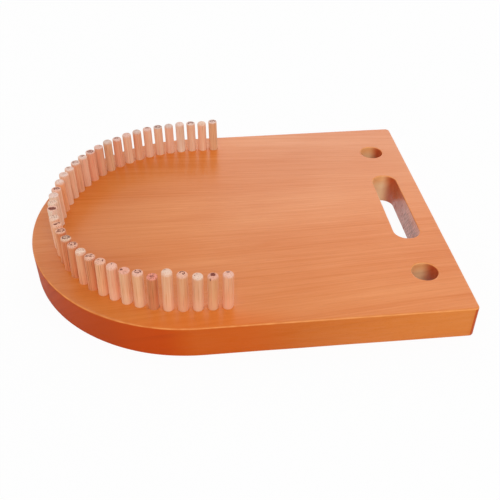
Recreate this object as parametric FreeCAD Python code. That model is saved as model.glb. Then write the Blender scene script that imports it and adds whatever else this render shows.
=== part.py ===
import FreeCAD, Part
import math
import os

# A bracelet loom: a stained wooden board with one half-round end, and a row of round
# wooden pegs glued into blind sockets round that end.
# Millimetres. X runs along the board, with the half-round end towards -X, and Z is up.
# The origin is the middle of the board's outline, on its underside.

# Board
BOARD_LENGTH = 250.0
BOARD_WIDTH = 200.0
BOARD_THICKNESS = 20.5
END_CORNER_RADIUS = 3.0
EDGE_EASE = 1.0

# Hand slot, right through the board beside its straight end
SLOT_LENGTH = 70.0
SLOT_WIDTH = 16.0
SLOT_FROM_END = 21.0

# Post holes, right through the board, one each side of the hand slot
HOLE_DIAMETER = 15.0
HOLE_FROM_END = 21.0
HOLE_FROM_SIDE = 33.5
RIM_EASE = 0.6

# Pegs: dowels round the half-round end, with a few more along each straight side. The
# whole row was started a little further round the curve than would be even, and its first
# pegs stand a little wider apart than the rest.
PEG_DIAMETER = 6.0
PEG_GAP = 1.76
PEG_INSET = 16.0
SIDE_PEG_COUNT = 2
ROW_SHIFT = 0.9
WIDER_GAPS = 6
WIDER_BY = 0.22
PEG_STAND = 22.0
PEG_CHAMFER = 0.5
SOCKET_DEPTH = 12.0
SOCKET_CLEARANCE = 0.05

# Pegs cut longer or shorter than the rest: peg number, and steps above the rest
UNEVEN_STEP = 0.5
UNEVEN_PEGS = {
    1: 2, 2: 1, 3: 2, 4: 5, 5: 9, 6: -1, 7: 2, 9: 3, 10: 2, 11: 1, 12: 2, 13: 1, 14: 1,
    15: 1, 18: 2, 19: 2, 20: 1, 21: -1, 22: 1, 23: 1, 27: -1, 28: -1, 29: 2, 30: -1,
    31: 1, 32: 1, 34: -1, 36: 1, 37: -1,
}

# Pegs up to this number were drilled leaning towards the straight end
LAST_LEANING_PEG = 14
LEAN_ANGLE = 2.0

END_X = BOARD_LENGTH / 2
CURVE_RADIUS = BOARD_WIDTH / 2
CURVE_X = CURVE_RADIUS - BOARD_LENGTH / 2
RING_RADIUS = CURVE_RADIUS - PEG_INSET
PEGS_ON_CURVE = round(math.pi * RING_RADIUS / (PEG_DIAMETER + PEG_GAP)) + 1
PEG_PITCH = math.pi * RING_RADIUS / (PEGS_ON_CURVE - 1)
PEG_COUNT = PEGS_ON_CURVE + 2 * SIDE_PEG_COUNT
UP = FreeCAD.Vector(0, 0, 1)


def point(x, y, z=0.0):
    return FreeCAD.Vector(x, y, z)


def wire_of(curves):
    return Part.Wire([curve.toShape() for curve in curves])


def board_outline():
    """The straight end with two small rounded corners, and the half-round end."""
    side = BOARD_WIDTH / 2
    corner = END_CORNER_RADIUS
    bulge = corner * (1 - math.sqrt(0.5))
    front_corner = Part.Arc(
        point(END_X - corner, -side),
        point(END_X - bulge, -side + bulge),
        point(END_X, -side + corner),
    )
    back_corner = Part.Arc(
        point(END_X, side - corner),
        point(END_X - bulge, side - bulge),
        point(END_X - corner, side),
    )
    tip = point(CURVE_X - CURVE_RADIUS, 0)
    diagonal = CURVE_RADIUS * math.sqrt(0.5)
    back_curve = Part.Arc(point(CURVE_X, side), point(CURVE_X - diagonal, diagonal), tip)
    front_curve = Part.Arc(tip, point(CURVE_X - diagonal, -diagonal), point(CURVE_X, -side))
    return wire_of([
        Part.LineSegment(point(CURVE_X, -side), point(END_X - corner, -side)),
        front_corner,
        Part.LineSegment(point(END_X, -side + corner), point(END_X, side - corner)),
        back_corner,
        Part.LineSegment(point(END_X - corner, side), point(CURVE_X, side)),
        back_curve,
        front_curve,
    ])


def slot_outline():
    """The hand slot, long across the board, with half-round ends."""
    x = END_X - SLOT_FROM_END
    half = SLOT_WIDTH / 2
    straight = SLOT_LENGTH / 2 - half
    return wire_of([
        Part.LineSegment(point(x + half, -straight), point(x + half, straight)),
        Part.Arc(
            point(x + half, straight), point(x, straight + half), point(x - half, straight)
        ),
        Part.LineSegment(point(x - half, straight), point(x - half, -straight)),
        Part.Arc(
            point(x - half, -straight), point(x, -straight - half), point(x + half, -straight)
        ),
    ])


def hole_outline(side):
    """One post hole, at the front (-1) or the back (1)."""
    centre = point(END_X - HOLE_FROM_END, side * (BOARD_WIDTH / 2 - HOLE_FROM_SIDE))
    return Part.Wire([Part.makeCircle(HOLE_DIAMETER / 2, centre, UP)])


def level_face_edges(solid, outer):
    """Edges round the top and bottom faces, or else round the openings in them."""
    edges = []
    for face in solid.Faces:
        if face.BoundBox.ZLength > 0.001:
            continue
        for wire in face.Wires:
            if wire.isSame(face.OuterWire) == outer:
                edges.extend(wire.Edges)
    return edges


def sawn_board():
    """The board before its sockets are drilled: openings cut, and every edge eased."""
    openings = [slot_outline(), hole_outline(-1), hole_outline(1)]
    face = Part.Face(board_outline())
    for opening in openings:
        face = face.cut(Part.Face(opening))
    board = face.Faces[0].extrude(UP * BOARD_THICKNESS)
    board = board.makeFillet(EDGE_EASE, level_face_edges(board, outer=True))
    return board.makeFillet(RIM_EASE, level_face_edges(board, outer=False))


def peg_mark(number):
    """Where peg NUMBER's top lies in plan, counted from the front round the curve."""
    along_curve = (number - 1 - SIDE_PEG_COUNT) * PEG_PITCH + ROW_SHIFT
    along_curve -= WIDER_BY * max(0, WIDER_GAPS + 1 - number)
    past_curve = along_curve - math.pi * RING_RADIUS
    if along_curve < 0:
        return CURVE_X - along_curve, -RING_RADIUS
    if past_curve > 0:
        return CURVE_X + past_curve, RING_RADIUS
    angle = -math.pi / 2 - along_curve / RING_RADIUS
    return CURVE_X + RING_RADIUS * math.cos(angle), RING_RADIUS * math.sin(angle)


def peg_lean(number):
    """How far peg NUMBER leans towards the straight end, in degrees."""
    return LEAN_ANGLE if number <= LAST_LEANING_PEG else 0.0


def set_in_place(upright, number):
    """Move a shape made upright, with its socket's mouth at the origin, to peg NUMBER's place."""
    x, y = peg_mark(number)
    lean = peg_lean(number)
    foot_x = x - PEG_STAND * math.tan(math.radians(lean))
    turned = upright.copy()
    turned.rotate(point(0, 0), FreeCAD.Vector(0, 1, 0), lean)
    turned.translate(point(foot_x, y, BOARD_THICKNESS))
    return turned


def socket(number):
    """The drilled hole that peg NUMBER is glued into.

    It reaches above the board too, so that a leaning one still cuts its whole mouth.
    """
    radius = PEG_DIAMETER / 2 + SOCKET_CLEARANCE
    drill = Part.makeCylinder(radius, SOCKET_DEPTH + radius, point(0, 0, -SOCKET_DEPTH))
    return set_in_place(drill, number)


def peg(number):
    """One dowel, standing on its socket's floor, with both its ends chamfered."""
    length = SOCKET_DEPTH + PEG_STAND + UNEVEN_STEP * UNEVEN_PEGS.get(number, 0)
    dowel = Part.makeCylinder(PEG_DIAMETER / 2, length, point(0, 0, -SOCKET_DEPTH))
    rims = [edge for edge in dowel.Edges if edge.BoundBox.ZLength < 0.001]
    return set_in_place(dowel.makeChamfer(PEG_CHAMFER, rims), number)


def drilled_board():
    """The finished board."""
    sockets = [socket(number) for number in range(1, PEG_COUNT + 1)]
    return sawn_board().cut(Part.makeCompound(sockets))


def main():
    os.makedirs("parts", exist_ok=True)
    board = drilled_board()
    print("board", board.isValid(), len(board.Solids), "volume", round(board.Volume))
    board.Solids[0].exportStep("parts/board.step")
    for number in range(1, PEG_COUNT + 1):
        peg(number).exportStep(f"parts/peg_{number:02d}.step")
    print("pegs", PEG_COUNT, "at a pitch of", round(PEG_PITCH, 3))


main()
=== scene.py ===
import math
import random

import bmesh
import bpy
from mathutils import Matrix, Vector, noise
from mathutils.geometry import delaunay_2d_cdt


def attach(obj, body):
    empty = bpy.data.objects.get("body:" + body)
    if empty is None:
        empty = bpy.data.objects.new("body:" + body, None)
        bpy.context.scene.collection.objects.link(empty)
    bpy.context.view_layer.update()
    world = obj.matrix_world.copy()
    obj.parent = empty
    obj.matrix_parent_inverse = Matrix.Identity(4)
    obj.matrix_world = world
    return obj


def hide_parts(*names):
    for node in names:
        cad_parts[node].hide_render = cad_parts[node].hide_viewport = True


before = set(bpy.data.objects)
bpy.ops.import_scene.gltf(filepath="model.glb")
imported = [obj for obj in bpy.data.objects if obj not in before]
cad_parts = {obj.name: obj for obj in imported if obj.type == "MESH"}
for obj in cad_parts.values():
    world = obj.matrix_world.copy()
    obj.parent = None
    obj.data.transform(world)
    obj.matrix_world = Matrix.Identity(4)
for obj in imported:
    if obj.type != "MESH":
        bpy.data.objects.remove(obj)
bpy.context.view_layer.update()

# A bracelet loom: a stained and lacquered board with bare wooden pegs round its half-round
# end. Sizes are millimetres, in the part's frame, until a mesh or a light is made.
# X runs along the board with the half-round end towards -X, and Z is up.

MM = 0.001

# The board and its pegs, as in the part's source
BOARD_LENGTH = 250.0
BOARD_WIDTH = 200.0
BOARD_THICKNESS = 20.5
END_CORNER_RADIUS = 3.0
EDGE_EASE = 1.0
SLOT_LENGTH = 70.0
SLOT_WIDTH = 16.0
SLOT_FROM_END = 21.0
HOLE_DIAMETER = 15.0
HOLE_FROM_END = 21.0
HOLE_FROM_SIDE = 33.5
RIM_EASE = 0.6
PEG_RADIUS = 3.0
SOCKET_RADIUS = 3.05
PEG_COUNT = 39

# The bead of glue round a peg's foot, from its rim down into the socket: out from the peg,
# above the board, and how much glue
GLUE_COLLAR = (
    (0.4, 0.0, 0.0), (0.26, 0.03, 0.5), (0.15, 0.1, 1.0), (0.05, 0.22, 1.0), (0.05, 0.0, 1.0)
)

# How many points each stretch of an outline has, and how many go round a socket
SIDE_POINTS = 60
CORNER_POINTS = 8
END_POINTS = 80
CURVE_POINTS = 128
SLOT_SIDE_POINTS = 80
SLOT_END_POINTS = 36
HOLE_POINTS = 96
SOCKET_POINTS = 48

# How many steps the outer wall and an opening's wall have on their way up, and how far
# beyond an opening's ease the level face begins
OUTER_STEPS = 8
OPENING_STEPS = 36
OPENING_SHOULDER = 0.4

# How many torn places the slot's long wall has
GOUGES = 34

# Seeds of the random draws. A peg's number is added to its own.
GOUGE_SEED = 4
PEG_SEED = 100

END_X = BOARD_LENGTH / 2
SIDE_Y = BOARD_WIDTH / 2
CURVE_X = SIDE_Y - END_X


# Meshes

class Skin:
    """Collects the points and faces of one piece, and what its material reads from them."""

    def __init__(self):
        self.points = []
        self.faces = []
        self.looks = []
        self.layers = {}

    def add(self, places, look=(0.0, 0.0, 0.0)):
        """Adds points with one look, which is three numbers for the material.

        On the board they are its edge wear with a painted highlight, how inner and how outer a
        point is, and an inner below zero is glue. On a peg they are how dark, how much end grain
        and how flecked it is.
        """
        first = len(self.points)
        self.points.extend(Vector(place) for place in places)
        self.looks.extend([look] * (len(self.points) - first))
        return list(range(first, len(self.points)))

    def bridge(self, below, above):
        """A band of quads between two closed loops of the same number of points."""
        count = len(below)
        for i in range(count):
            j = (i + 1) % count
            self.faces.append((below[i], below[j], above[j], above[i]))

    def fan(self, loop, centre):
        """Triangles from a closed loop to one point."""
        for i in range(len(loop)):
            self.faces.append((loop[i], loop[(i + 1) % len(loop)], centre))

    def piece(self, name, material, sharp=35.0):
        """Makes the object. Edges that turn by more than SHARP degrees stay sharp."""
        mesh = bpy.data.meshes.new(name)
        mesh.from_pydata([point * MM for point in self.points], [], self.faces)
        self.layers["look"] = self.looks
        for layer, values in self.layers.items():
            flat = [number for value in values for number in value]
            mesh.attributes.new(layer, "FLOAT_VECTOR", "POINT").data.foreach_set("vector", flat)
        work = bmesh.new()
        work.from_mesh(mesh)
        bmesh.ops.recalc_face_normals(work, faces=work.faces)
        for face in work.faces:
            face.smooth = True
        work.to_mesh(mesh)
        work.free()
        mesh.set_sharp_from_angle(angle=math.radians(sharp))
        mesh.materials.append(material)
        piece = bpy.data.objects.new(name, mesh)
        bpy.context.scene.collection.objects.link(piece)
        return piece


def wander(place, size, amount, seed=0.0):
    """Smooth noise between -AMOUNT and AMOUNT, with features about SIZE across."""
    x, y, z = place
    return amount * noise.noise(Vector((x / size + seed, y / size - seed, z / size + 3 * seed)))


def arc(cx, cy, radius, start, end, count, out=1):
    """Points along an arc with the direction out of the wood, without the last point.

    OUT is 1 where that direction leads away from the arc's centre, and -1 round an opening.
    """
    points = []
    for i in range(count):
        turn = math.radians(start + (end - start) * i / count)
        nx, ny = math.cos(turn), math.sin(turn)
        points.append((cx + radius * nx, cy + radius * ny, out * nx, out * ny))
    return points


def run(ax, ay, bx, by, count, nx, ny):
    """Points along a straight run with the direction out of the wood, without the last."""
    steps = [i / count for i in range(count)]
    return [(ax + (bx - ax) * t, ay + (by - ay) * t, nx, ny) for t in steps]


def board_outline():
    """Round the board from where its curve ends at the front, by way of the straight end."""
    corner = END_CORNER_RADIUS
    x, y = END_X - corner, SIDE_Y - corner
    return (
        run(CURVE_X, -SIDE_Y, x, -SIDE_Y, SIDE_POINTS, 0, -1)
        + arc(x, -y, corner, -90, 0, CORNER_POINTS)
        + run(END_X, -y, END_X, y, END_POINTS, 1, 0)
        + arc(x, y, corner, 0, 90, CORNER_POINTS)
        + run(x, SIDE_Y, CURVE_X, SIDE_Y, SIDE_POINTS, 0, 1)
        + arc(CURVE_X, 0, SIDE_Y, 90, 270, CURVE_POINTS)
    )


def slot_outline():
    """Round the hand slot, which is long across the board and half-round at both ends."""
    x = END_X - SLOT_FROM_END
    half = SLOT_WIDTH / 2
    straight = SLOT_LENGTH / 2 - half
    return (
        run(x + half, -straight, x + half, straight, SLOT_SIDE_POINTS, -1, 0)
        + arc(x, straight, half, 0, 180, SLOT_END_POINTS, -1)
        + run(x - half, straight, x - half, -straight, SLOT_SIDE_POINTS, 1, 0)
        + arc(x, -straight, half, 180, 360, SLOT_END_POINTS, -1)
    )


def hole_outline(side):
    """Round the post hole at the front (-1) or the back (1)."""
    y = side * (SIDE_Y - HOLE_FROM_SIDE)
    return arc(END_X - HOLE_FROM_END, y, HOLE_DIAMETER / 2, 0, 360, HOLE_POINTS, -1)


def wall(skin, outline, ease, uneven, relief, height_steps, inner, ease_steps=5, shoulder=0.6):
    """A wall between the board's faces, with both its edges eased by hand.

    The ease varies by about the share UNEVEN, and RELIEF says how far the wall lies inside
    its outline. Returns the loops where the top and the bottom face take over.
    """
    eases = [
        ease * (1 + wander((x, y, 0), 24.0, 2.0 * uneven, seed=7.3)) for x, y, _, _ in outline
    ]
    loops = []

    def loop(inset_of, height_of, turned):
        """One loop round the wall, TURNED being how far it is from level to upright."""
        # Edge wear and its painted highlight, most at the middle of the ease
        wear_and_glint = math.sin(2 * turned)
        wall_share = math.sin(turned) ** 2
        look = (wear_and_glint, wall_share, 0.0) if inner else (wear_and_glint, 0.0, wall_share)
        places = []
        for (x, y, nx, ny), own in zip(outline, eases):
            height = height_of(own)
            inset = inset_of(own) + relief(x, y, height)
            places.append((x - nx * inset, y - ny * inset, height))
        loops.append(skin.add(places, look))

    def flat(z):
        """The loop on a level face, just beyond the ease."""
        places = []
        for (x, y, nx, ny), own in zip(outline, eases):
            inset = own + shoulder
            places.append((x - nx * inset, y - ny * inset, z))
        loops.append(skin.add(places))

    flat(0.0)
    for i in range(ease_steps + 1):
        turn = math.pi / 2 * i / ease_steps
        loop(lambda own: own * (1 - math.sin(turn)), lambda own: own * (1 - math.cos(turn)), turn)
    for i in range(1, height_steps):
        share = i / height_steps
        loop(lambda own: 0.0, lambda own: own + (BOARD_THICKNESS - 2 * own) * share, math.pi / 2)
    for i in range(ease_steps + 1):
        turn = math.pi / 2 * (1 - i / ease_steps)
        loop(
            lambda own: own * (1 - math.sin(turn)),
            lambda own: BOARD_THICKNESS - own * (1 - math.cos(turn)),
            turn,
        )
    flat(BOARD_THICKNESS)
    for below, above in zip(loops, loops[1:]):
        skin.bridge(below, above)
    return loops[-1], loops[0]


def inside(x, y, loop):
    """Whether a point lies inside a closed loop of points."""
    hit = False
    ax, ay = loop[-1]
    for bx, by in loop:
        if (ay > y) != (by > y) and x < ax + (bx - ax) * (y - ay) / (by - ay):
            hit = not hit
        ax, ay = bx, by
    return hit


def cover(skin, outer, holes, height, step=9.0, clear=3.0):
    """Fills a level face between its outer loop and its holes.

    Points STEP apart are spread over it, none of them nearer than CLEAR to an edge's points.
    """
    rims = [[skin.points[i].xy for i in loop] for loop in [outer] + holes]
    ids = []
    flat = []
    joins = []
    for loop, rim in zip([outer] + holes, rims):
        base = len(flat)
        ids.extend(loop)
        flat.extend(rim)
        joins.extend((base + i, base + (i + 1) % len(rim)) for i in range(len(rim)))
    spread = []
    columns = int(BOARD_LENGTH / step)
    rows = int(BOARD_WIDTH / step)
    for column in range(1, columns):
        for row in range(1, rows):
            x = -END_X + step * (column + 0.5 * (row % 2))
            y = -SIDE_Y + step * row
            if not inside(x, y, rims[0]) or any(inside(x, y, rim) for rim in rims[1:]):
                continue
            if min((point.x - x) ** 2 + (point.y - y) ** 2 for point in flat) > clear ** 2:
                spread.append((x, y, height))
    ids.extend(skin.add(spread))
    flat.extend(Vector((x, y)) for x, y, _ in spread)
    points, _, faces, origins, _, _ = delaunay_2d_cdt(flat, joins, [], 0, 1e-5, True)
    for face in faces:
        x = sum(points[i].x for i in face) / len(face)
        y = sum(points[i].y for i in face) / len(face)
        if inside(x, y, rims[0]) and not any(inside(x, y, rim) for rim in rims[1:]):
            skin.faces.append([ids[origins[i][0]] for i in face])


class Dowel:
    """Where a peg's CAD node stands: the middle of its foot, its direction and its length."""

    def __init__(self, number):
        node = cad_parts[f"peg_{number:02d}"]
        corners = [vertex.co / MM for vertex in node.data.vertices]
        corners.sort(key=lambda corner: corner.z)
        half = len(corners) // 2
        low = sum(corners[:half], Vector()) / half
        high = sum(corners[half:], Vector()) / (len(corners) - half)
        self.number = number
        self.up = (high - low).normalized()
        reach = [(corner - low).dot(self.up) for corner in corners]
        self.foot = low + self.up * min(reach)
        self.length = max(reach) - min(reach)
        self.right = (Vector((1, 0, 0)) - self.up * self.up.x).normalized()
        self.back = self.up.cross(self.right)

    def place(self, x, y, z):
        """A point given from the middle of the foot, Z being along the peg."""
        return self.foot + self.right * x + self.back * y + self.up * z

    def level(self, turn, radius, height):
        """The point of the socket's wall at a turn round the peg, at a height in the part."""
        to_right = self.right * radius * math.cos(turn)
        to_back = self.back * radius * math.sin(turn)
        spot = self.foot + to_right + to_back
        return spot + self.up * ((height - spot.z) / self.up.z)


dowels = [Dowel(number) for number in range(1, PEG_COUNT + 1)]


def gouges(rng, count):
    """Tear-out left by the router on the slot's long wall: place, size, depth and lean."""
    marks = []
    for _ in range(count):
        across = rng.uniform(-29, 29)
        up = rng.uniform(2, 18)
        length = rng.uniform(1.4, 3.6)
        width = rng.uniform(0.22, 0.5)
        deep = rng.uniform(0.08, 0.3)
        lean = math.radians(rng.uniform(52, 74))
        marks.append((across, up, length, width, deep, lean))
    return marks


def slot_relief(marks):
    """The slot's wall: a little uneven all round, and torn on its outer long side."""
    wall_x = END_X - SLOT_FROM_END + SLOT_WIDTH / 2

    def relief(x, y, z):
        depth = 0.05 + wander((x, y, z), 9.0, 0.06) + wander((x, y, 0.2 * z), 1.3, 0.02)
        if abs(x - wall_x) < 0.5:
            for across, up, length, width, deep, lean in marks:
                dy, dz = y - across, z - up
                along = (-dy * math.cos(lean) + dz * math.sin(lean)) / length
                aside = (dy * math.sin(lean) + dz * math.cos(lean)) / width
                near = along * along + aside * aside
                if near < 1:
                    depth += deep * (1 - near) ** 0.7
        return depth

    return relief


def bore_relief(seed):
    """A bored hole: fine rings from the bit's turns, and a slight wander."""
    def relief(x, y, z):
        turn = math.atan2(y, x)
        rings = 0.02 * math.sin(2 * math.pi * z / 1.1 + turn)
        return 0.05 + rings + wander((x, y, z), 6.0, 0.04, seed)

    return relief


def sawn_relief(x, y, z):
    """The outer wall, sawn and sanded by hand, a little uneven."""
    return 0.07 + wander((x, y, z), 38.0, 0.06) + wander((x, y, z), 11.0, 0.018, 4.1)


def board_piece(material):
    """The board, with its openings, its sockets and the glue round the pegs' feet."""
    skin = Skin()
    top, bottom = wall(
        skin, board_outline(), EDGE_EASE, uneven=0.12, relief=sawn_relief,
        height_steps=OUTER_STEPS, inner=False, ease_steps=6,
    )
    torn = slot_relief(gouges(random.Random(GOUGE_SEED), GOUGES))
    slot = wall(
        skin, slot_outline(), RIM_EASE, uneven=0.2, relief=torn,
        height_steps=OPENING_STEPS, inner=True, shoulder=OPENING_SHOULDER,
    )
    holes = [
        wall(
            skin, hole_outline(side), RIM_EASE, uneven=0.15, relief=bore_relief(side),
            height_steps=OPENING_STEPS, inner=True, shoulder=OPENING_SHOULDER,
        )
        for side in (-1, 1)
    ]
    mouths = []
    turns = [2 * math.pi * i / SOCKET_POINTS for i in range(SOCKET_POINTS)]
    for dowel in dowels:
        collar = [
            skin.add(
                [dowel.level(turn, PEG_RADIUS + out, BOARD_THICKNESS + high) for turn in turns],
                (0.0, -glue, 0.0),
            )
            for out, high, glue in GLUE_COLLAR
        ]
        for below, above in zip(collar, collar[1:]):
            skin.bridge(below, above)
        mouth, lip = collar[0], collar[-1]
        floor = skin.add(
            dowel.place(SOCKET_RADIUS * math.cos(turn), SOCKET_RADIUS * math.sin(turn), 0)
            for turn in turns
        )
        middle = skin.add([dowel.place(0, 0, 0)])[0]
        skin.bridge(lip, floor)
        skin.fan(floor, middle)
        mouths.append(mouth)
    openings = [slot] + holes
    cover(skin, top, [loops[0] for loops in openings] + mouths, BOARD_THICKNESS)
    cover(skin, bottom, [loops[1] for loops in openings], 0.0)
    return skin.piece("loom_board", material)


# Pegs

# A cap's shape: how far its rim is rounded, and how high its crown is above the rim
CAPS = {"flat": (0.3, 0.05), "soft": (0.7, 0.25), "dome": (1.35, 0.5)}

# Tones of end grain
CREAM, PINK, ROSY = (1.0, 1.0, 1.0), (1.0, 0.83, 0.82), (0.96, 0.69, 0.65)
GREY, TAN, OLIVE = (0.84, 0.9, 1.0), (0.99, 0.81, 0.75), (0.93, 0.9, 0.84)
PEARL, SHELL, DUSKY = (0.98, 1.02, 1.12), (0.94, 0.87, 0.94), (1.0, 0.8, 0.71)
BLUSH = (0.98, 0.54, 0.5)

# Tints of shafts, fitted peg by peg: partly each peg's own tone, partly painted light and shade.
# The white and pale tints lift pegs at the back, which get less light and more orange light from
# the board. The shaded ochre is painted shade over pegs 11 and 13 to 15.
WARM, PLAIN, PALE = (1.0, 0.87, 0.76), (1.01, 0.93, 0.85), (1.0, 1.13, 1.26)
BROWN, RUDDY, DULL = (0.75, 0.46, 0.3), (0.93, 0.86, 0.84), (0.92, 0.94, 0.92)
OCHRE_SHADED, HONEY, WHITE_LIT = (0.86, 0.57, 0.41), (0.93, 0.79, 0.63), (1.0, 1.32, 1.7)

# What each peg shows: the shape of its cap, the tone of its end grain, the tint of its
# shaft, how flecked its wood is, and the marks on its cap. A mark is its kind, its middle, its
# half widths and its strength. Places and widths are in peg radii, with x to the straight end
# and y to the back.
PEGS = {
    1: ("soft", PINK, WARM, 0.3, [("smudge", 0.0, 0.45, 0.6, 0.4, 0.8)]),
    2: ("soft", ROSY, HONEY, 0.4, [
        ("oval", 0.0, 0.35, 0.5, 0.5, 0.95), ("spot", -0.5, -0.85, 0.16, 0.25, 0.6)]),
    3: ("soft", CREAM, PLAIN, 0.3, [
        ("spot", -0.5, 0.1, 0.15, 0.15, 0.8), ("spot", -0.1, 0.45, 0.15, 0.14, 0.8)]),
    4: ("soft", TAN, HONEY, 0.4, [
        ("hook", 0.0, 0.3, 0.45, 0.5, 1.0), ("spot", 0.1, 0.1, 0.16, 0.16, 1.0)]),
    5: ("dome", CREAM, PLAIN, 0.1, [("smudge", -0.3, 0.4, 0.5, 0.4, 0.65)]),
    6: ("flat", BLUSH, BROWN, 1.0, [
        ("smudge", -0.1, 0.1, 0.8, 0.6, 0.6), ("spot", 0.0, 0.3, 0.3, 0.3, 0.5)]),
    7: ("soft", PINK, PLAIN, 0.4, [("ring", 0.0, 0.25, 0.55, 0.45, 0.9)]),
    8: ("flat", ROSY, PLAIN, 0.3, [
        ("smudge", -0.5, 0.3, 0.35, 0.4, 1.0), ("spot", 0.1, -0.35, 0.5, 0.1, 0.6)]),
    9: ("dome", PINK, PLAIN, 0.3, [
        ("spot", 0.0, 0.15, 0.12, 0.35, 0.9), ("spot", 0.1, 0.5, 0.35, 0.12, 0.7)]),
    10: ("soft", TAN, WARM, 0.8, [
        ("spot", -0.4, 0.3, 0.35, 0.14, 0.9), ("spot", 0.45, 0.1, 0.16, 0.4, 0.9)]),
    11: ("soft", TAN, OCHRE_SHADED, 1.0, [
        ("spot", -0.5, 0.1, 0.35, 0.2, 1.0), ("spot", 0.2, 0.5, 0.45, 0.16, 1.0),
        ("spot", 0.1, -0.05, 0.4, 0.14, 1.0), ("smudge", 0.0, 0.3, 0.9, 0.6, 0.5)]),
    12: ("dome", CREAM, WARM, 0.5, [
        ("spot", 0.3, 0.4, 0.15, 0.14, 0.9), ("spot", 0.55, 0.0, 0.14, 0.16, 0.9),
        ("spot", 0.15, -0.1, 0.14, 0.12, 0.8), ("spot", -0.35, 0.1, 0.14, 0.12, 0.8)]),
    13: ("soft", TAN, OCHRE_SHADED, 0.9, [("hollow", -0.05, 0.25, 0.8, 0.62, 0.85)]),
    14: ("soft", OLIVE, OCHRE_SHADED, 0.9, [("hollow", 0.0, 0.2, 0.74, 0.62, 1.0)]),
    15: ("flat", DUSKY, OCHRE_SHADED, 1.0, [
        ("hollow", 0.1, 0.2, 0.7, 0.6, 1.0), ("spot", -0.5, -0.3, 0.3, 0.16, 1.0)]),
    16: ("soft", DUSKY, PLAIN, 1.0, [
        ("spot", -0.2, 0.0, 0.5, 0.35, 1.0), ("spot", 0.4, 0.4, 0.4, 0.25, 1.0)]),
    17: ("soft", CREAM, PALE, 0.9, [
        ("spot", -0.2, 0.5, 0.2, 0.14, 0.8), ("spot", 0.2, -0.1, 0.2, 0.14, 0.7),
        ("spot", 0.45, 0.35, 0.14, 0.14, 0.9), ("spot", -0.35, -0.25, 0.14, 0.14, 0.8)]),
    18: ("flat", PINK, WHITE_LIT, 0.5, [("oval", -0.05, -0.05, 0.78, 0.55, 1.0)]),
    19: ("dome", CREAM, WHITE_LIT, 0.9, []),
    20: ("soft", PEARL, WHITE_LIT, 0.7, [("smudge", 0.2, 0.2, 0.4, 0.3, 0.5)]),
    21: ("soft", PINK, PALE, 0.5, [("hollow", 0.05, 0.1, 0.65, 0.5, 1.0)]),
    22: ("dome", PEARL, WARM, 0.4, [("smudge", -0.2, 0.1, 0.5, 0.5, 0.5)]),
    23: ("soft", PEARL, PALE, 0.4, [("smudge", 0.0, 0.0, 0.7, 0.6, 0.5)]),
    24: ("soft", PEARL, PALE, 0.5, [("smudge", -0.2, 0.2, 0.6, 0.5, 0.7)]),
    25: ("soft", PEARL, RUDDY, 0.6, [("hollow", -0.05, 0.2, 0.75, 0.6, 0.8)]),
    26: ("soft", PEARL, PALE, 0.5, [("smudge", 0.0, 0.2, 0.7, 0.6, 0.8)]),
    27: ("flat", SHELL, RUDDY, 0.4, [("hollow", 0.0, 0.1, 0.72, 0.58, 1.0)]),
    28: ("flat", SHELL, RUDDY, 0.4, [
        ("spot", 0.4, 0.4, 0.4, 0.14, 0.9), ("smudge", -0.2, 0.0, 0.5, 0.3, 0.4)]),
    29: ("dome", GREY, DULL, 0.4, [("smudge", 0.0, 0.2, 0.8, 0.6, 0.5)]),
    30: ("soft", SHELL, RUDDY, 0.5, [("hollow", 0.0, 0.3, 0.65, 0.45, 0.9)]),
    31: ("dome", SHELL, PALE, 0.4, [("spot", 0.25, 0.4, 0.3, 0.25, 0.9)]),
    32: ("dome", GREY, DULL, 0.4, [("smudge", 0.0, 0.4, 0.6, 0.4, 0.8)]),
    33: ("soft", SHELL, PALE, 0.3, [("smudge", 0.0, 0.3, 0.8, 0.5, 0.8)]),
    34: ("flat", GREY, PALE, 0.5, [("hollow", 0.0, 0.1, 0.8, 0.65, 0.75)]),
    35: ("dome", GREY, PALE, 0.3, [("spot", 0.0, 0.3, 0.2, 0.2, 0.9)]),
    36: ("dome", PEARL, WHITE_LIT, 0.2, [("smudge", 0.0, 0.3, 0.6, 0.4, 0.3)]),
    37: ("flat", PEARL, PALE, 0.4, [("hollow", 0.05, 0.15, 0.75, 0.6, 0.85)]),
    38: ("dome", CREAM, PALE, 0.4, [("smudge", 0.0, 0.3, 0.5, 0.4, 0.3)]),
    39: ("flat", PEARL, DULL, 0.6, [("hollow", 0.1, 0.25, 0.8, 0.5, 0.8)]),
}

# How far each kind of mark sinks into the cap, in millimetres
SINKS = {"hook": 0.25, "ring": 0.25, "hollow": 0.35, "oval": 0.5, "spot": 0.12, "smudge": 0.0}

# A hook is a ring that is open round this turn, by this much each way, in radians
HOOK_OPENS_AT = -2.2
HOOK_OPENING = 0.9

# A peg's chamfer in its socket, how many points one of its rings has, and how many steps go
# up its shaft, through the frayed end of that, round its rim and over its cap
SOLE_CHAMFER = 0.5
RING_POINTS = 56
SHAFT_STEPS = 14
FRAY_STEPS = 4
RIM_STEPS = 5
CAP_STEPS = 12

# How long the frayed end of the shaft is, and how much end grain shows at its top
FRAY_LENGTH = 1.2
FRAYED = 0.45


def mark_share(kind, u, v, grit):
    """How much of one mark shows at a point, as darkness and as depth.

    U and V run from its middle, in half widths, and GRIT makes its edge ragged.
    """
    near = math.hypot(u, v) + 0.45 * grit
    if kind in ("hook", "ring"):
        from_opening = abs(math.remainder(math.atan2(v, u) - HOOK_OPENS_AT, 2 * math.pi))
        if kind == "hook" and from_opening < HOOK_OPENING:
            return 0.0, 0.0
        line = max(0.0, 1 - abs(near - 0.9) / 0.42)
        return line, line
    if kind == "spot":
        middle = max(0.0, 1 - near ** 2)
        return middle, middle
    if kind == "smudge":
        return 0.75 * max(0.0, 1 - near ** 2), 0.0
    whole = min(1.0, max(0.0, (1.15 - near) / 0.35))
    if kind == "oval":
        return whole * (0.85 + 0.5 * grit), whole
    # A hollow is darkest along its edge
    return whole * (0.3 + 0.7 * min(1.0, near) ** 2) * (0.95 + 0.7 * grit), whole


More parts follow.
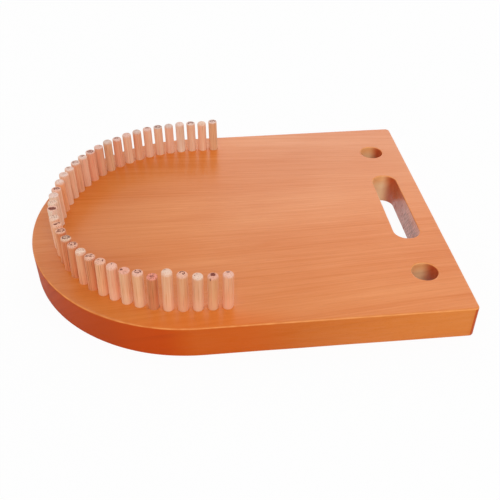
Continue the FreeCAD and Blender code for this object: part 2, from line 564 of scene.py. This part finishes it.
def mark_at(marks, x, y, grit):
    """How dark a peg's marks make one point of its cap, and how far they sink it."""
    dark = 0.0
    sink = 0.0
    for kind, mx, my, wide, deep, strength in marks:
        shown, sunk = mark_share(kind, (x - mx) / wide, (y - my) / deep, grit)
        dark = max(dark, shown * strength)
        sink = max(sink, SINKS[kind] * sunk * strength)
    return dark, sink


def peg_piece(dowel, material):
    """One dowel: shaft, sawn and rubbed cap, and a plain end in its socket."""
    number = dowel.number
    cap, tone, tint, flecked, marks = PEGS[number]
    rim, crown = CAPS[cap]
    rng = random.Random(PEG_SEED + number)
    seed = rng.uniform(0, 50)
    tilt = rng.uniform(-0.02, 0.02), rng.uniform(-0.02, 0.02)
    oval = rng.uniform(0.0, 0.012), rng.uniform(0, math.pi)
    bow = rng.uniform(-0.05, 0.05), rng.uniform(-0.05, 0.05)
    spin = rng.uniform(0, 2 * math.pi)
    drift = Vector((rng.uniform(-40, 40), rng.uniform(-40, 40), rng.uniform(-40, 40)))
    shade = [channel * rng.uniform(0.97, 1.03) for channel in tint]
    tilt_room = (abs(tilt[0]) + abs(tilt[1])) * PEG_RADIUS
    skin = Skin()
    grain = []

    def ring(radius, height, end):
        """One ring of points, END being how much of it is end grain."""
        places = []
        shown = []
        for i in range(RING_POINTS):
            turn = 2 * math.pi * i / RING_POINTS
            # A shaft is slightly oval and fluted
            squash = 1 - oval[0] * (1 + math.cos(2 * (turn - oval[1])))
            flute = wander((3 * math.cos(turn), 3 * math.sin(turn), 0.02 * height), 0.8, 0.03, seed)
            reach = radius * (squash - 0.008) + flute * (radius / PEG_RADIUS)
            x, y = reach * math.cos(turn), reach * math.sin(turn)
            z = height
            dark = 0.0
            if end > 0:
                # A cap is rough, most of all in its marks, and a little tilted
                u, v = x / PEG_RADIUS, y / PEG_RADIUS
                grit = noise.noise(Vector((4.5 * u + seed, 4.5 * v, seed)))
                dark, sink = mark_at(marks, u, v, grit)
                fine = noise.noise(Vector((11 * u, 11 * v + seed, seed)))
                z -= end * (sink * (0.8 + 0.4 * grit) + 0.05 * (1 + fine) * (1 + 2 * dark))
                z += end * (tilt[0] * x + tilt[1] * y - tilt_room)
            # A dowel is bowed a little, and turned and shifted in the wood that it shows
            swell = math.sin(math.pi * height / dowel.length)
            places.append(dowel.place(x + bow[0] * swell, y + bow[1] * swell, z))
            shown.append((dark, end, flecked))
            wx = x * math.cos(spin) - y * math.sin(spin)
            wy = x * math.sin(spin) + y * math.cos(spin)
            grain.append((wx + drift.x, wy + drift.y, z + drift.z))
        added = skin.add(places)
        skin.looks[-RING_POINTS:] = shown
        return added

    top = dowel.length
    shoulder = top - crown - rim
    loops = [ring(PEG_RADIUS - SOLE_CHAMFER, 0.0, 0.0), ring(PEG_RADIUS, SOLE_CHAMFER, 0.0)]
    for i in range(1, SHAFT_STEPS):
        height = SOLE_CHAMFER + (shoulder - 2.0) * i / SHAFT_STEPS
        loops.append(ring(PEG_RADIUS, height, 0.0))
    # End grain frays into the last of the shaft, and takes over round the rim
    for i in range(FRAY_STEPS + 1):
        share = i / FRAY_STEPS
        loops.append(ring(PEG_RADIUS, shoulder - FRAY_LENGTH * (1 - share), FRAYED * share ** 2))
    for i in range(1, RIM_STEPS + 1):
        share = i / RIM_STEPS
        turn = math.pi / 2 * share
        radius = PEG_RADIUS - rim * (1 - math.cos(turn))
        end = FRAYED + (1 - FRAYED) * share
        loops.append(ring(radius, shoulder + rim * math.sin(turn), end))
    face = PEG_RADIUS - rim
    for i in range(1, CAP_STEPS):
        radius = face * (1 - i / CAP_STEPS)
        loops.append(ring(radius, top - crown * (radius / face) ** 2, 1.0))
    for below, above in zip(loops, loops[1:]):
        skin.bridge(below, above)
    grit = noise.noise(Vector((seed, 0, seed)))
    dark, sink = mark_at(marks, 0.0, 0.0, grit)
    drop = sink * (0.8 + 0.4 * grit) + 0.05 + tilt_room
    tip = skin.add([dowel.place(0, 0, top - drop)], (dark, 1.0, flecked))[0]
    grain.append((drift.x, drift.y, top + drift.z))
    skin.fan(loops[-1], tip)
    sole = skin.add([dowel.place(0, 0, 0)])[0]
    grain.append((drift.x, drift.y, drift.z))
    skin.fan(loops[0], sole)
    skin.layers["grain"] = grain
    skin.layers["shaft"] = [shade] * len(skin.points)
    skin.layers["cap"] = [tone] * len(skin.points)
    return skin.piece(f"loom_peg_{number:02d}", material, sharp=50.0)


# Materials

class Net:
    """The net of nodes of a material or a world, with a short way to add and join them."""

    def __init__(self, owner):
        self.owner = owner
        owner.use_nodes = True
        self.tree = owner.node_tree
        self.tree.nodes.clear()

    def node(self, kind, inputs, **settings):
        """Adds a node. Each of its inputs is a value, or the output that feeds it."""
        made = self.tree.nodes.new("ShaderNode" + kind)
        for key, value in settings.items():
            setattr(made, key, value)
        for key, value in inputs.items():
            if isinstance(value, bpy.types.NodeSocket):
                self.tree.links.new(value, made.inputs[key])
            else:
                made.inputs[key].default_value = value
        return made

    def math(self, operation, *values):
        return self.node("Math", dict(enumerate(values)), operation=operation).outputs[0]

    def plus(self, first, second):
        return self.math("ADD", first, second)

    def minus(self, first, second):
        return self.math("SUBTRACT", first, second)

    def times(self, *values):
        product = values[0]
        for value in values[1:]:
            product = self.math("MULTIPLY", product, value)
        return product

    def vector(self, operation, *values):
        return self.node("VectorMath", dict(enumerate(values)), operation=operation).outputs[0]

    def stretched(self, place, x, y, z):
        return self.vector("MULTIPLY", place, (x, y, z))

    def parts(self, vector):
        """The three numbers of a vector."""
        return self.node("SeparateXYZ", {0: vector}).outputs

    def place(self):
        """Where a point lies on the part, in millimetres."""
        metres = self.node("TexCoord", {}).outputs["Object"]
        return self.stretched(metres, 1 / MM, 1 / MM, 1 / MM)

    def layer(self, name):
        """Three numbers that the mesh carries for each of its points."""
        return self.node("Attribute", {}, attribute_name=name).outputs["Vector"]

    def noise(self, place, detail=2.0, rough=0.5):
        inputs = {"Vector": place, "Scale": 1.0, "Detail": detail, "Roughness": rough}
        return self.node("TexNoise", inputs).outputs[0]

    def waver(self, place, detail, amount):
        """Noise across the board and down through it, to bend a pattern by."""
        inputs = {"Vector": place, "Scale": 1.0, "Detail": detail}
        colour = self.node("TexNoise", inputs).outputs["Color"]
        centred = self.vector("SUBTRACT", colour, (0.5, 0.5, 0.5))
        return self.stretched(centred, 0.0, amount, amount)

    def spread(self, value, low, high, to_low=0.0, to_high=1.0, smooth=True):
        """Maps LOW..HIGH to TO_LOW..TO_HIGH, and holds it there beyond them."""
        inputs = {0: value, 1: low, 2: high, 3: to_low, 4: to_high}
        kind = "SMOOTHSTEP" if smooth else "LINEAR"
        return self.node("MapRange", inputs, interpolation_type=kind).outputs[0]

    def mix(self, share, first, second, blend="MIX"):
        inputs = {0: share, 6: first, 7: second}
        return self.node("Mix", inputs, data_type="RGBA", blend_type=blend).outputs[2]

    def tinted(self, first, second):
        return self.mix(1.0, first, second, "MULTIPLY")

    def finish(self, shader, output="OutputMaterial"):
        self.node(output, {"Surface": shader.outputs[0]})
        return self.owner


def rgb(red, green, blue):
    """A colour given as it looks on the screen, 0 to 255."""
    linear = []
    for value in (red, green, blue):
        value /= 255
        linear.append(value / 12.92 if value <= 0.04045 else ((value + 0.055) / 1.055) ** 2.4)
    return (*linear, 1.0)


# Growth rings: the way from the tree's middle to the board's, and how wide a year's growth is
FROM_HEART = (0.0, 300.0, 190.0)
YEAR = 4.2


def board_grain(net, place, along):
    """The board's late wood, fibre, fine lines and pores, and how dark all that makes it."""
    bend = net.waver(net.stretched(place, 0.004, 0.012, 0.012), 1.0, 9.0)
    ripple = net.waver(net.stretched(place, 0.02, 0.16, 0.16), 2.0, 0.9)
    # The grain closes up towards the straight end
    taper = net.math("MULTIPLY_ADD", along, 0.0009, 1.0)
    closed = net.node("CombineXYZ", {0: 1.0, 1: taper, 2: 1.0}).outputs[0]
    grown = net.vector("ADD", net.vector("ADD", place, bend), ripple)
    grown = net.vector("MULTIPLY", grown, closed)
    across = net.stretched(net.vector("ADD", grown, FROM_HEART), 0.0, 1.0, 1.0)
    radius = net.node("VectorMath", {0: across}, operation="LENGTH").outputs["Value"]
    years = net.times(radius, 1 / YEAR)
    inputs = {"W": net.times(years, 0.31), "Scale": 1.0, "Detail": 2.0}
    uneven = net.node("TexNoise", inputs, noise_dimensions="1D").outputs[0]
    years = net.plus(years, net.times(uneven, 2.6))
    # Late wood darkens slowly through a year and ends at once, more in some years than others
    season = net.math("FRACT", years)
    late = net.times(net.spread(season, 0.3, 0.9), net.spread(season, 0.9, 1.0, 1.0, 0.0))
    inputs = {"W": net.math("FLOOR", years)}
    strength = net.node("TexWhiteNoise", inputs, noise_dimensions="1D").outputs["Value"]
    fade = net.noise(net.stretched(grown, 0.009, 0.03, 0.03), 1.0)
    late = net.times(late, net.spread(strength, 0.2, 1.0, 0.1, 1.0))
    late = net.times(late, net.spread(fade, 0.35, 0.6, 0.25, 1.0))
    band = net.noise(net.stretched(grown, 0.002, 0.06, 0.06), 2.0)
    fibre = net.noise(net.stretched(grown, 0.012, 0.8, 0.8), 5.0, 0.7)
    hair = net.noise(net.stretched(grown, 0.04, 4.2, 4.2), 3.0, 0.6)
    pores = net.spread(net.noise(net.stretched(grown, 0.16, 5.5, 5.5), 1.0), 0.63, 0.75)
    blotch = net.noise(net.stretched(place, 0.011, 0.02, 0.02), 2.0)
    dark = net.times(late, 0.13)
    for pattern, amount in ((band, 0.09), (fibre, 0.19), (hair, 0.09), (blotch, 0.1)):
        dark = net.plus(dark, net.spread(pattern, 0.3, 0.7, -amount, amount, smooth=False))
    return late, fibre, hair, pores, net.plus(dark, 0.4)


def opening_painted_light(net, back, up, facing, soak):
    """Inside the openings: painted light on walls facing the straight end, painted shade facing the
    curve.
    """
    # Painted light from below: the walls are paler low down and darker near the rim
    high = net.spread(up, 12.0, 19.0)
    lit_wall = net.mix(high, rgb(255, 224, 176), rgb(255, 194, 130))
    shaded_wall = net.mix(high, rgb(190, 92, 60), rgb(196, 78, 38))
    lit_and_shaded_wall = net.mix(net.spread(facing, -0.85, 0.0), shaded_wall, lit_wall)
    lit_and_shaded_wall = net.mix(net.times(soak, 0.3), lit_and_shaded_wall, rgb(150, 68, 36))
    # The slot's long wall is torn, with the cutter's slanting marks. Its lilac is a painted
    # reflection of the white below, and it is paler near its top as painted light. bare marks that
    # wall.
    slant = net.plus(net.times(back, 0.9), net.times(up, 0.45))
    rise = net.minus(net.times(up, 0.9), net.times(back, 0.45))
    slanting = net.node("CombineXYZ", {0: net.times(slant, 1.1), 1: net.times(rise, 0.16)})
    torn = net.spread(net.noise(slanting.outputs[0], 3.0, 0.65), 0.38, 0.62)
    torn_reflection = net.mix(torn, rgb(150, 90, 82), rgb(220, 164, 158))
    torn_reflection = net.mix(net.times(high, 0.5), torn_reflection, rgb(248, 166, 134))
    bare = net.times(
        net.spread(facing, -0.99, -0.9, 1.0, 0.0),
        net.spread(back, -4.0, 20.0, 1.0, 0.0),
        net.spread(back, -40.0, -30.0),
    )
    return net.mix(bare, lit_and_shaded_wall, torn_reflection)


def stained_wood():
    """Straight-grained board with an orange stain under a satin clear lacquer."""
    net = Net(bpy.data.materials.new("stained_wood"))
    place = net.place()
    sides = net.parts(place)
    along, back, up = sides[0], sides[1], sides[2]
    late, fibre, hair, pores, dark = board_grain(net, place, along)
    colour = net.mix(dark, rgb(242, 146, 62), rgb(216, 105, 22))
    # Painted shade: the colour is darker towards the half-round end, less so beside where the curve
    # begins, because the light falls from the right, and is painted a little darker at the back of
    # the straight end
    off_curve = net.math("ABSOLUTE", net.plus(along, 30.0))
    painted_curve_shade = net.times(
        net.spread(along, -120.0, 110.0, 0.16, 0.0), net.spread(off_curve, 0.0, 45.0, 0.7, 1.0)
    )
    painted_back_shade = net.times(net.spread(back, -30.0, 80.0, 0.0, 0.07), net.spread(along, 0.0, 60.0))
    colour = net.mix(net.plus(painted_curve_shade, painted_back_shade), colour, rgb(60, 20, 0))
    colour = net.mix(net.times(pores, 0.25), colour, rgb(160, 80, 34))

    # Edge wear with its painted highlight, the inner and outer walls, and glue, as the mesh carries
    # them
    looks = net.parts(net.layer("look"))
    wear_and_glint, inner, outer = looks[0], net.math("MAXIMUM", looks[1], 0.0), looks[2]
    glue = net.math("MAXIMUM", net.times(looks[1], -1.0), 0.0)
    facing = net.parts(net.node("TexCoord", {}).outputs["Normal"])[0]
    end = net.spread(net.math("ABSOLUTE", facing), 0.0, 0.22)
    soak = net.plus(net.times(late, 0.5), net.times(pores, 0.4))
    # The sides are painted darker than the top, and darker still towards the curve. This is painted
    # shade for the upright faces and for light from the right. The end grain round the curve took
    # more stain.
    side = net.mix(net.spread(along, -30.0, 120.0), rgb(199, 90, 6), rgb(228, 135, 58))
    side = net.mix(soak, side, rgb(186, 80, 20))
    colour = net.mix(net.times(outer, 0.8), colour, side)
    ends = net.mix(soak, rgb(192, 68, 0), rgb(160, 45, 0))
    colour = net.mix(net.times(end, outer, 0.9), colour, ends)
    colour = net.mix(net.times(inner, 0.9), colour, opening_painted_light(net, back, up, facing, soak))
    # In front of the pegs beside the curve the colour is painted a stronger orange, as painted
    # shade where the pegs hide the sheen
    sheen_blocked_strip = net.times(
        net.spread(back, -98.0, -84.0, 1.0, 0.0), net.spread(along, -5.0, 35.0, 1.0, 0.0)
    )
    colour = net.mix(net.times(sheen_blocked_strip, 0.23), colour, rgb(236, 88, 0))
    # Eased edges are paler: partly rubbed wear and partly a painted highlight along them. The bead
    # of glue round a peg is paler too.
    rub = net.spread(net.noise(net.stretched(place, 0.15, 0.15, 0.4), 2.0), 0.3, 0.7, 0.4, 0.9)
    colour = net.mix(net.times(net.math("POWER", wear_and_glint, 3.0), rub), colour, rgb(255, 170, 92))
    colour = net.mix(net.times(glue, 0.3), colour, rgb(236, 146, 88))
    # The lacquer sank into the sides, most of all into the end grain, and into the dark grain.
    # There is none on the glue, and little in front of the front pegs, which hardly show in it.
    coat = net.math("MULTIPLY_ADD", outer, -0.5, 1.0)
    coat = net.minus(coat, net.times(outer, end, 0.5))
    coat = net.minus(coat, net.times(dark, 0.8))
    coat = net.times(coat, net.minus(1.0, glue), net.math("MULTIPLY_ADD", sheen_blocked_strip, -0.55, 1.0))

    peel = net.noise(net.stretched(place, 0.12, 0.3, 0.3), 2.0)
    height = net.plus(net.times(fibre, 0.5), net.times(hair, 0.3))
    height = net.minus(height, net.times(pores, 0.7))
    height = net.plus(height, net.times(peel, 1.2))
    bump = net.node("Bump", {"Height": height, "Strength": 0.35, "Distance": 0.03 * MM})
    return net.finish(net.node("BsdfPrincipled", {
        "Base Color": colour,
        "Roughness": 0.45,
        "IOR": 1.5,
        "Specular IOR Level": 0.12,
        "Coat Weight": coat,
        "Coat Roughness": 0.3,
        "Coat IOR": 1.6,
        "Normal": bump.outputs[0],
    }))


def peg_wood():
    """Pale dowel, bare and sanded, with the end grain showing on its cap."""
    net = Net(bpy.data.materials.new("peg_wood"))
    grain = net.layer("grain")
    looks = net.parts(net.layer("look"))
    dark, end, flecked = looks[0], looks[1], looks[2]
    broad = net.noise(net.stretched(grain, 0.5, 0.5, 0.02), 3.0, 0.6)
    fibre = net.noise(net.stretched(grain, 2.0, 2.0, 0.06), 4.0, 0.65)
    vessel = net.spread(net.noise(net.stretched(grain, 3.0, 3.0, 0.05), 2.0), 0.56, 0.68)
    tone = net.plus(
        net.spread(broad, 0.3, 0.7, -0.3, 0.3, smooth=False),
        net.spread(fibre, 0.3, 0.7, 0.1, 0.9, smooth=False),
    )
    shaft = net.mix(tone, rgb(252, 206, 169), rgb(237, 172, 129))
    blush = net.noise(net.stretched(grain, 0.8, 0.8, 0.03), 2.0)
    shaft = net.mix(net.spread(blush, 0.5, 0.7, 0.0, 0.45), shaft, rgb(250, 176, 146))
    streaks = net.times(vessel, net.math("MULTIPLY_ADD", flecked, 0.65, 0.15))
    shaft = net.mix(streaks, shaft, rgb(168, 108, 70))
    # Painted light and shade on the pegs along the front: darker towards their tops, and paler
    # towards their feet as painted light bounced from the board, where they aren't far round the
    # curve
    sides = net.parts(net.place())
    along, back, up = sides[0], sides[1], sides[2]
    front = net.spread(back, -60.0, 0.0, 1.0, 0.0)
    painted_top_shade = net.times(net.spread(up, 24.0, 38.0, 0.0, 0.09), front)
    shaft = net.mix(painted_top_shade, shaft, rgb(90, 50, 30))
    painted_foot_light = net.times(net.spread(up, 21.0, 31.0, 0.4, 0.0), net.spread(along, -88.0, -72.0), front)
    shaft = net.mix(painted_foot_light, shaft, rgb(255, 222, 198))
    shaft = net.tinted(shaft, net.layer("shaft"))

    dots = net.noise(net.stretched(grain, 3.0, 3.0, 0.4), 2.0)
    cap = net.mix(net.spread(dots, 0.35, 0.65), rgb(255, 229, 209), rgb(243, 192, 167))
    speck = net.spread(net.noise(net.stretched(grain, 1.5, 1.5, 0.6), 3.0, 0.65), 0.5, 0.64)
    specks = net.times(speck, net.math("MULTIPLY_ADD", flecked, 0.7, 0.05))
    cap = net.tinted(net.mix(specks, cap, rgb(136, 88, 74)), net.layer("cap"))
    colour = net.mix(end, shaft, cap)
    # The marks on the cap, with broken edges
    broken = net.noise(net.stretched(grain, 2.2, 2.2, 1.0), 3.0, 0.6)
    mark = net.plus(dark, net.times(net.minus(broken, 0.5), 0.7))
    mark = net.times(net.spread(mark, 0.2, 0.65), net.spread(dark, 0.02, 0.2), 0.92)
    colour = net.mix(mark, colour, net.tinted(rgb(120, 58, 52), net.layer("cap")))

    height = net.minus(net.times(fibre, 0.6), net.times(vessel, 0.6))
    height = net.plus(height, net.times(dots, end, 1.5))
    bump = net.node("Bump", {"Height": height, "Strength": 0.5, "Distance": 0.05 * MM})
    return net.finish(net.node("BsdfPrincipled", {
        "Base Color": colour,
        "Roughness": 0.8,
        "IOR": 1.45,
        "Specular IOR Level": 0.1,
        "Sheen Weight": 1.0,
        "Sheen Roughness": 0.35,
        "Sheen Tint": (1.0, 0.6, 0.4, 1.0),
        "Normal": bump.outputs[0],
    }))


# The object

wood = stained_wood()
board = board_piece(wood)
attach(board, "root")
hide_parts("board")

bare = peg_wood()
for dowel in dowels:
    peg = peg_piece(dowel, bare)
    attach(peg, "root")
    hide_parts(f"peg_{dowel.number:02d}")


# The studio

WHITE_LIGHT = (1.0, 1.0, 1.0, 1.0)
FLOOR_GREY = (0.9, 0.9, 0.9, 1.0)
FLOOR_SIZE = 4.0

# How much of the floor that the camera sees is its glow, the rest being its shading
FLOOR_GLOW = 0.95

# How bright the room is as a light on the object
ROOM_LIGHT = 0.635

# A gloss sees the white floor within the first distance from this point, and none of it
# beyond the second
UNDER_OPENINGS = (104.0, 10.0, 0.0)
GLOSS_REACH = 95.0, 170.0


def is_seen(net):
    """1 for what the camera sees, and 0 for light on the object.

    A gloss sees the white floor under the openings, and less of it further out.
    """
    path = net.node("LightPath", {}).outputs
    seen = net.math("MAXIMUM", path["Is Camera Ray"], path["Is Transmission Ray"])
    inputs = {0: net.place(), 1: UNDER_OPENINGS}
    away = net.node("VectorMath", inputs, operation="DISTANCE").outputs["Value"]
    near = net.spread(away, *GLOSS_REACH, 1.0, 0.0)
    return net.math("MAXIMUM", seen, net.times(path["Is Glossy Ray"], near))


def floor_piece():
    """A plain white floor that keeps the object's shadow."""
    net = Net(bpy.data.materials.new("floor_white"))
    plain = net.node("BsdfDiffuse", {"Color": FLOOR_GREY})
    glow = net.node("Emission", {"Color": WHITE_LIGHT, "Strength": 1.0})
    share = net.spread(is_seen(net), 0.0, 1.0, 0.0, FLOOR_GLOW, smooth=False)
    both = net.node("MixShader", {0: share, 1: plain.outputs[0], 2: glow.outputs[0]})
    material = net.finish(both)
    work = bmesh.new()
    bmesh.ops.create_grid(work, x_segments=8, y_segments=8, size=FLOOR_SIZE)
    mesh = bpy.data.meshes.new("floor")
    work.to_mesh(mesh)
    work.free()
    mesh.materials.append(material)
    piece = bpy.data.objects.new("floor", mesh)
    bpy.context.scene.collection.objects.link(piece)
    return piece


def white_room():
    """A room that is white to the camera and in a gloss, and a soft light all round."""
    net = Net(bpy.data.worlds.new("white_room"))
    path = net.node("LightPath", {}).outputs
    seen = net.math("MAXIMUM", path["Is Camera Ray"], path["Is Glossy Ray"])
    level = net.spread(seen, 0.0, 1.0, ROOM_LIGHT, 1.0, smooth=False)
    sky = net.node("Background", {"Color": WHITE_LIGHT, "Strength": level})
    return net.finish(sky, "OutputWorld")


def soft_light(name, place, size, level):
    """An area light aimed at the origin. LEVEL is what it adds to a white surface there."""
    offset = -Vector(place)
    lamp = bpy.data.lights.new(name, "AREA")
    lamp.shape = "RECTANGLE"
    lamp.size, lamp.size_y = size
    lamp.energy = level * math.pi ** 2 * offset.length_squared
    holder = bpy.data.objects.new(name, lamp)
    holder.location = place
    holder.rotation_euler = offset.to_track_quat("-Z", "Y").to_euler()
    bpy.context.scene.collection.objects.link(holder)


floor_piece()
bpy.context.scene.world = white_room()
soft_light("front", (0.2, -2.0, 1.7), (1.8, 1.2), 0.25)
soft_light("back_sheen", (0.6, 1.35, 0.75), (1.3, 0.85), 0.15)
soft_light("above", (0.2, 0.0, 1.6), (1.2, 1.2), 0.05)

# The camera, fitted to the photograph: turned to the right, tipped down and rolled
FOCAL_PIXELS = 697.1
FRAME_PIXELS = 500
SENSOR = 36.0
YAW, PITCH, ROLL = (math.radians(angle) for angle in (5.191, 38.441, -0.38))
STAND = (-22.7, -359.6, 277.64)

camera = bpy.data.cameras.new("camera")
camera.sensor_width = SENSOR
camera.lens = FOCAL_PIXELS / FRAME_PIXELS * SENSOR
ahead = Vector((
    math.sin(YAW) * math.cos(PITCH), math.cos(YAW) * math.cos(PITCH), -math.sin(PITCH)
))
level = Vector((math.cos(YAW), -math.sin(YAW), 0.0))
above = level.cross(ahead)
across = level * math.cos(ROLL) + above * math.sin(ROLL)
upright = above * math.cos(ROLL) - level * math.sin(ROLL)
aim = Matrix((across, upright, -ahead)).transposed().to_4x4()
aim.translation = Vector(STAND) * MM
viewer = bpy.data.objects.new("camera", camera)
viewer.matrix_world = aim
bpy.context.scene.collection.objects.link(viewer)
bpy.context.scene.camera = viewer
bpy.context.scene.view_settings.view_transform = "Standard"
